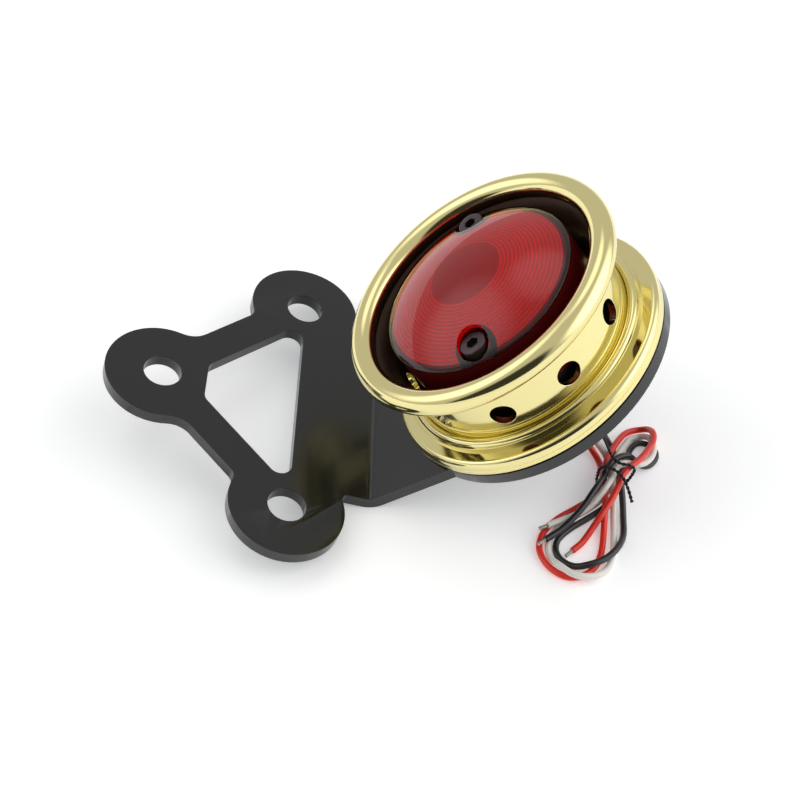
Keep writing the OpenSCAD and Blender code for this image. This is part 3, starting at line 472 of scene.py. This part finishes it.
# The drill leaves a small round edge on each of the ten holes.
work_on(housing)
bpy.ops.object.mode_set(mode="EDIT")
bpy.ops.mesh.select_mode(type="EDGE")
bpy.ops.mesh.select_all(action="DESELECT")
mesh = bmesh.from_edit_mesh(housing.data)
for edge in mesh.edges:
    ends = [v.co * 1000 for v in edge.verts]
    on_wall = all(abs(math.hypot(v.x, v.y) - WALL_RADIUS) < 0.02
                  and abs(v.z - WALL_HOLE_HEIGHT) < WALL_HOLE_RADIUS + 0.5 for v in ends)
    edge.select_set(on_wall and edge.is_manifold and edge.calc_face_angle() > 0.8)
bmesh.update_edit_mesh(housing.data)
bpy.ops.mesh.remove_doubles(threshold=0.00003)
bpy.ops.mesh.bevel(offset=0.00015, segments=3, affect="EDGES")
bpy.ops.mesh.select_mode(type="VERT")
bpy.ops.object.mode_set(mode="OBJECT")

# Polished and lacquered brass outside: a pale greenish gold, nearly a mirror, with a very slight
# unevenness of the buffing in its gloss.
polished_brass, tree, shader = start_material("polished lacquered brass", {
    "Base Color": hex_colour("EDE1A2"), "Metallic": 1.0, "Roughness": 0.1,
})
vary_gloss(tree, shader, 60.0, 4.0, 0.07, 0.13)

# Brass inside with painted shade: dull, a dark brown that stands for shade, and a little patchy.
painted_shade_brass, tree, shader = start_material("brass inside, painted shade", {
    "Base Color": hex_colour("3A2616"), "Metallic": 0.6, "Roughness": 0.5,
})
coords = add_node(tree, "ShaderNodeTexCoord")
patches = add_node(tree, "ShaderNodeTexNoise", {"Scale": 220.0, "Detail": 4.0},
                   {"Vector": coords.outputs["Object"]})
shade_browns = add_node(tree, "ShaderNodeMix", {"A": hex_colour("2E1C10"), "B": hex_colour("4A3220")},
                  data_type="RGBA")
tree.links.new(patches.outputs["Fac"], shade_browns.inputs["Factor"])
tree.links.new(shade_browns.outputs["Result"], shader.inputs["Base Color"])
housing.data.materials.append(polished_brass)
housing.data.materials.append(painted_shade_brass)
# Inward faces of the bore and the flare, and the floor inside, take the painted shade.
for face in housing.data.polygons:
    middle = face.center * 1000
    out = math.hypot(middle.x, middle.y)
    inward = face.normal.x * middle.x + face.normal.y * middle.y < -0.2 * out
    in_bore = out < BORE_RADIUS + 0.2
    in_flare = out < 33.9 and 6.8 < middle.z < 27.6
    on_floor = abs(middle.z - FLOOR_HEIGHT) < 0.02 and out < BORE_RADIUS + 0.1
    if (inward and (in_bore or in_flare)) or on_floor:
        face.material_index = 1
set_in_lamp(housing)
use_modifier(housing, "WEIGHTED_NORMAL", keep_sharp=True)
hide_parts("housing")
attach(housing, "base")


# Lens. Injection-moulded red acrylic, 2 mm thick: a polished dome outside, stepped in fine rings
# inside that spread the light, and two deep pockets for the screws. The stepped face is a little
# cloudy and hides what is behind it.
DOME_RADIUS = 52.71
DOME_CENTRE = -17.11
LENS_RADIUS = 27.1
LENS_WALL = 2
LENS_FOOT = 11
DOME_EDGE = 26.3
RIM_CENTRE = (26.35, 27.55)
RIM_ROUND = 0.75
FIRST_RING = 10
RING_PITCH = 0.95
RING_COUNT = 16
RING_FACE = 0.16
RING_DEPTH = 0.35
PLAIN_RADIUS = 9.5
POST_RADIUS = 5.5
POCKET_RADIUS = 4.35
POCKET_DEPTH = 4.8
LENS_HOLE_RADIUS = 2.3
STANDOFF_ROOM_RADIUS = 3.8
STANDOFF_ROOM_TOP = 14.3


def dome_height(radius, depth=0.0):
    """Height of the dome above the housing's underside, or of the same dome this deep inside."""
    return DOME_CENTRE + math.sqrt((DOME_RADIUS - depth) ** 2 - radius ** 2)


def dome_line(radius, steps, depth=0.0):
    """Points on the dome, from its top out to this radius."""
    return [(radius * i / steps, dome_height(radius * i / steps, depth))
            for i in range(steps + 1)]


rings = [(FIRST_RING + RING_PITCH * i, dome_height(FIRST_RING + RING_PITCH * i, LENS_WALL))
         for i in range(RING_COUNT)]
rings = [q for radius, height in rings
         for q in ((radius, height), (radius + RING_FACE, height - RING_DEPTH))]
inner_radius = LENS_RADIUS - LENS_WALL
lens = draw_line("red_lens", dome_line(DOME_EDGE, 28)
                 + arc_points(RIM_CENTRE, RIM_ROUND, 55, 0, 5)
                 + [(LENS_RADIUS, LENS_FOOT), (inner_radius, LENS_FOOT),
                    (inner_radius, dome_height(inner_radius, LENS_WALL))]
                 + rings[::-1] + dome_line(PLAIN_RADIUS, 10, LENS_WALL)[::-1])
turn_on_lathe(lens, 200)

# The posts reach half way into the lens's wall, and are cut to its shape by a solid blank.
half_way = LENS_RADIUS - LENS_WALL / 2
blank = draw_line("blank", dome_line(half_way, 28, LENS_WALL / 2)
                  + [(half_way, LENS_FOOT + 0.03), (0, LENS_FOOT + 0.03)])
turn_on_lathe(blank, 200)
posts = []
for y in (-SCREW_OFFSET, SCREW_OFFSET):
    post = add_rod(POST_RADIUS, 5, 36, (0, y), 64)
    use_modifier(post, "BOOLEAN", operation="INTERSECT", object=blank, solver="EXACT")
    posts.append(post)
bpy.data.objects.remove(blank)
combine(lens, posts, "UNION")
pocket_floor = dome_height(SCREW_OFFSET) - POCKET_DEPTH
for y in (-SCREW_OFFSET, SCREW_OFFSET):
    pocket = add_rod(POCKET_RADIUS, pocket_floor, 40, (0, y), 64)
    screw_hole = add_rod(LENS_HOLE_RADIUS, LENS_FOOT - 1, 30, (0, y))
    standoff_room = add_rod(STANDOFF_ROOM_RADIUS, LENS_FOOT - 1, STANDOFF_ROOM_TOP, (0, y))
    combine(lens, [pocket, screw_hole, standoff_room], "DIFFERENCE")

# The dome and the pockets: clear red acrylic with the polish of the mould.
red_acrylic, tree, shader = start_material("moulded red acrylic", {
    "Base Color": hex_colour("FF1A20"), "Roughness": 0.04, "IOR": 1.49, "Transmission Weight": 1.0,
})
vary_gloss(tree, shader, 120.0, 2.0, 0.03, 0.06)

# The skirt and the posts: matt from the mould, with painted shade, a dark red for the lamp's shade.
red_skirt_painted_shade, tree, shader = start_material("matt red acrylic, painted shade", {
    "Base Color": hex_colour("640A10"), "Roughness": 0.3, "IOR": 1.49,
})
roughen(tree, shader, 800.0, 2.0, 0.1, 0.0001)

# The stepped face inside: cloudy red, with a painted highlight, a bright line where each ring's
# edge would catch the light, round a plain and duller disc. The painted lines are drawn in mm from
# the lamp's axis, and their phase puts one on each ring.
red_rings_highlighted, tree, shader = start_material("ringed red acrylic, painted highlights", {
    "Roughness": 0.4, "IOR": 1.49, "Specular IOR Level": 0.0,
})
coords = add_node(tree, "ShaderNodeTexCoord")
in_lamp = add_node(tree, "ShaderNodeMapping", {
    "Location": LAMP_FOOT / 1000, "Rotation": (0, -LAMP_TILT, 0), "Scale": (0.001, 0.001, 0.001),
}, {"Vector": coords.outputs["Object"]}, vector_type="TEXTURE")
ring_highlight_wave = add_node(tree, "ShaderNodeTexWave",
                      {"Scale": 2 * math.pi / 20 / RING_PITCH, "Phase Offset": 5.589},
                      {"Vector": in_lamp.outputs["Vector"]},
                      wave_type="RINGS", rings_direction="Z")
thin_highlights = add_node(tree, "ShaderNodeMapRange", {"From Min": 0.55, "From Max": 0.95},
                {"Value": ring_highlight_wave.outputs["Fac"]})
flat = add_node(tree, "ShaderNodeVectorMath", {}, {"Vector": in_lamp.outputs["Vector"]},
                operation="MULTIPLY")
flat.inputs[1].default_value = (1, 1, 0)
reach = add_node(tree, "ShaderNodeVectorMath", {}, {"Vector": flat.outputs["Vector"]},
                 operation="LENGTH")
ringed = add_node(tree, "ShaderNodeMapRange",
                  {"From Min": PLAIN_RADIUS + 0.1, "From Max": PLAIN_RADIUS + 0.4},
                  {"Value": reach.outputs["Value"]})
ground = add_node(tree, "ShaderNodeMix",
                  {"A": hex_colour("BA0E14"), "B": hex_colour("D20C14")}, data_type="RGBA")
# The painted highlight: a bright red on each ring's line.
highlighted = add_node(tree, "ShaderNodeMix", {"B": hex_colour("FF2024")},
                 {"A": ground.outputs["Result"]}, data_type="RGBA")
amount = add_node(tree, "ShaderNodeMath", operation="MULTIPLY")
tree.links.new(ringed.outputs["Result"], ground.inputs["Factor"])
tree.links.new(ringed.outputs["Result"], amount.inputs[0])
tree.links.new(thin_highlights.outputs["Result"], amount.inputs[1])
tree.links.new(amount.outputs["Value"], highlighted.inputs["Factor"])
tree.links.new(highlighted.outputs["Result"], shader.inputs["Base Color"])

for material in (red_acrylic, red_skirt_painted_shade, red_rings_highlighted):
    lens.data.materials.append(material)
for face in lens.data.polygons:
    middle = face.center * 1000
    out = math.hypot(middle.x, middle.y)
    below = dome_height(out) - middle.z
    in_pocket = math.dist((middle.x, abs(middle.y)), (0, SCREW_OFFSET)) < POCKET_RADIUS + 0.15
    on_rings = out < inner_radius - 0.4 and below < LENS_WALL + 0.6
    if below > 0.6 and not in_pocket:
        face.material_index = 2 if on_rings else 1
set_in_lamp(lens, 20)
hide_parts("lens")
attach(lens, "lens")


# Lens screws and washers. Black-oxide steel, a dark brown-grey metal with an oily sheen. Each is an
# M4 socket screw, 20 mm long under the head, that goes through the lens into its standoff.
black_oxide, tree, shader = start_material("black oxide steel", {
    "Base Color": hex_colour("54484A"), "Metallic": 0.9, "Roughness": 0.4,
})
vary_gloss(tree, shader, 500.0, 3.0, 0.28, 0.5)
rounding = add_node(tree, "ShaderNodeBevel", {"Radius": 0.0002}, samples=4)
tree.links.new(rounding.outputs["Normal"], shader.inputs["Normal"])
for node in ("lens_screw_1", "lens_screw_2", "screw_washer_1", "screw_washer_2"):
    repaint(node, black_oxide)


def turn_thread(name, radius, pitch, low, high):
    """An upright threaded rod, cut off flat at both ends."""
    root = radius - 0.45 * pitch
    rod = draw_line(name, [(radius, high), (root, high + 0.5 * pitch), (radius, high + pitch)])
    bpy.ops.mesh.select_all(action="SELECT")
    bpy.ops.mesh.screw(steps=24, turns=math.ceil((high - low) / pitch) + 2, center=(0, 0, 0),
                       axis=(0, 0, 1))
    bpy.ops.mesh.select_all(action="SELECT")
    bpy.ops.mesh.remove_doubles(threshold=0.000002)
    for height, outer in ((low, False), (high, True)):
        bpy.ops.mesh.select_all(action="SELECT")
        bpy.ops.mesh.bisect(plane_co=(0, 0, height / 1000), plane_no=(0, 0, 1), use_fill=True,
                            clear_inner=not outer, clear_outer=outer)
    bpy.ops.mesh.select_all(action="SELECT")
    bpy.ops.mesh.normals_make_consistent(inside=False)
    bpy.ops.object.mode_set(mode="OBJECT")
    return rod


SCREW_RADIUS = 2
SCREW_PITCH = 0.7
SCREW_LENGTH = 20
HEAD_RADIUS = 3.5
HEAD_HEIGHT = 4
SOCKET_CORNER = 1.732
SOCKET_DEPTH = 2
THREAD_IN_HEAD = 0.8
WASHER_THICKNESS = 0.8
head_seat = pocket_floor + WASHER_THICKNESS
for number, y in ((1, -SCREW_OFFSET), (2, SCREW_OFFSET)):
    screw = add_rod(HEAD_RADIUS, head_seat, head_seat + HEAD_HEIGHT, sides=64)
    screw.name = screw.data.name = "socket_screw_%d" % number
    use_modifier(screw, "BEVEL", width=0.00035, segments=3, limit_method="ANGLE",
                 angle_limit=math.radians(40))
    socket = add_rod(SOCKET_CORNER, head_seat + HEAD_HEIGHT - SOCKET_DEPTH,
                     head_seat + HEAD_HEIGHT + 1, sides=6)
    combine(screw, [socket], "DIFFERENCE")
    thread = turn_thread("thread", SCREW_RADIUS, SCREW_PITCH, head_seat - SCREW_LENGTH,
                         head_seat + THREAD_IN_HEAD)
    combine(screw, [thread], "UNION")
    screw.location.y = y / 1000
    bpy.ops.object.transform_apply()
    screw.data.materials.append(black_oxide)
    set_in_lamp(screw)
    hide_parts("lens_screw_%d" % number)
    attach(screw, "screw_%d" % number)


# Studs, nuts and washers under the pad. Zinc-plated steel, a cool bright grey with a fine grain.
# Each stud is screwed into the housing's floor, and its nut clamps the pad from below.
zinc, tree, shader = start_material("zinc plate", {
    "Base Color": hex_colour("C4C6C8"), "Metallic": 1.0, "Roughness": 0.3,
})
vary_gloss(tree, shader, 1200.0, 3.0, 0.22, 0.42)
rounding = add_node(tree, "ShaderNodeBevel", {"Radius": 0.0002}, samples=4)
tree.links.new(rounding.outputs["Normal"], shader.inputs["Normal"])
for side in ("near", "far"):
    for node in ("washer_", "spring_washer_", "nut_"):
        repaint(node + side, zinc)

# The studs are the same steel, each with a rolled M5 thread.
STUD_RADIUS = 2.5
STUD_PITCH = 0.8
STUD_BOTTOM = -24.1
STUD_TOP = 2.8
for side, x in (("near", -STUD_OFFSET), ("far", STUD_OFFSET)):
    stud = turn_thread("threaded_stud_" + side, STUD_RADIUS, STUD_PITCH, STUD_BOTTOM, STUD_TOP)
    stud.location.x = x / 1000
    bpy.ops.object.transform_apply()
    stud.data.materials.append(zinc)
    set_in_lamp(stud)
    repaint("stud_" + side, zinc)
    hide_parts("stud_" + side)
    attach(stud, "base")


# Inside of the lamp. A moulded tray carries a round circuit board with its LEDs and small parts,
# and two brass standoffs take the lens screws.
def plain_finish(name, colour, roughness, grain_scale, **more):
    """A moulded or machined finish with a fine grain in its gloss."""
    material, tree, shader = start_material(name, {"Base Color": hex_colour(colour), **more})
    vary_gloss(tree, shader, grain_scale, 2.0, roughness * 0.8, roughness * 1.2)
    return material


repaint("lens_tray", plain_finish("moulded black ABS", "141312", 0.45, 600.0))
repaint("led_board", plain_finish("green solder mask", "1C3A26", 0.35, 800.0))
repaint("leds", plain_finish("clear red LED resin", "B04A46", 0.1, 300.0))
repaint("resistors", plain_finish("resistor lacquer", "B79B6A", 0.35, 500.0))
repaint("diode", plain_finish("moulded epoxy", "1A1A1A", 0.5, 700.0))
repaint("solder_joints", plain_finish("solder", "B8BABC", 0.3, 600.0, Metallic=1.0))
repaint("inner_leads", plain_finish("extruded PVC inside", "A02018", 0.4, 350.0))
for node in ("standoff_1", "standoff_2"):
    repaint(node, plain_finish("machined brass " + node[-1], "C9A85A", 0.25, 900.0, Metallic=1.0))


# Floor and surroundings. A white table in a white room, with large soft lights to the right, to the
# left and high at the back, and a darker part on the viewer's side.
bpy.ops.mesh.primitive_plane_add(size=6, location=(0, 0, 0))
floor = bpy.context.object
floor.name = "table"
white_table, tree, shader = start_material("white table", {
    "Base Color": hex_colour("F4F4F4"), "Roughness": 0.6,
    "Emission Color": hex_colour("FBFDFF"), "Emission Strength": 0.3,
})
floor.data.materials.append(white_table)

world = bpy.data.worlds.new("white room")
bpy.context.scene.world = world
world.use_nodes = True
tree = world.node_tree
background = tree.nodes["Background"]

# Each round part of the room: the way to its middle, the cosines at which it begins and is full,
# and its brightness outside and inside. They add up.
ROOM_PARTS = {
    "viewer's side": ((-0.2, -0.97, 0.1), 0.67, 0.82, 0.6, 0.04),
    "right light": ((0.86, -0.07, 0.5), 0.7, 0.97, 0.0, 1.4),
    "left light": ((-0.83, 0.14, 0.56), 0.84, 0.99, 0.0, 1.0),
    "back light": ((-0.17, 0.47, 0.87), 0.93, 0.995, 0.0, 0.8),
}
coords = add_node(tree, "ShaderNodeTexCoord")
level = None
for way, edge, core, outside, inside in ROOM_PARTS.values():
    facing = add_node(tree, "ShaderNodeVectorMath", operation="DOT_PRODUCT")
    facing.inputs[1].default_value = Vector(way).normalized()
    tree.links.new(coords.outputs["Generated"], facing.inputs[0])
    zone = add_node(tree, "ShaderNodeMapRange",
                    {"From Min": edge, "From Max": core, "To Min": outside, "To Max": inside},
                    {"Value": facing.outputs["Value"]}, interpolation_type="SMOOTHSTEP")
    if level:
        total = add_node(tree, "ShaderNodeMath", operation="ADD")
        tree.links.new(level, total.inputs[0])
        tree.links.new(zone.outputs["Result"], total.inputs[1])
        level = total.outputs["Value"]
    else:
        level = zone.outputs["Result"]
tree.links.new(level, background.inputs["Strength"])
background.inputs["Color"].default_value = hex_colour("FFFFFF")

bpy.context.scene.view_settings.view_transform = "Standard"
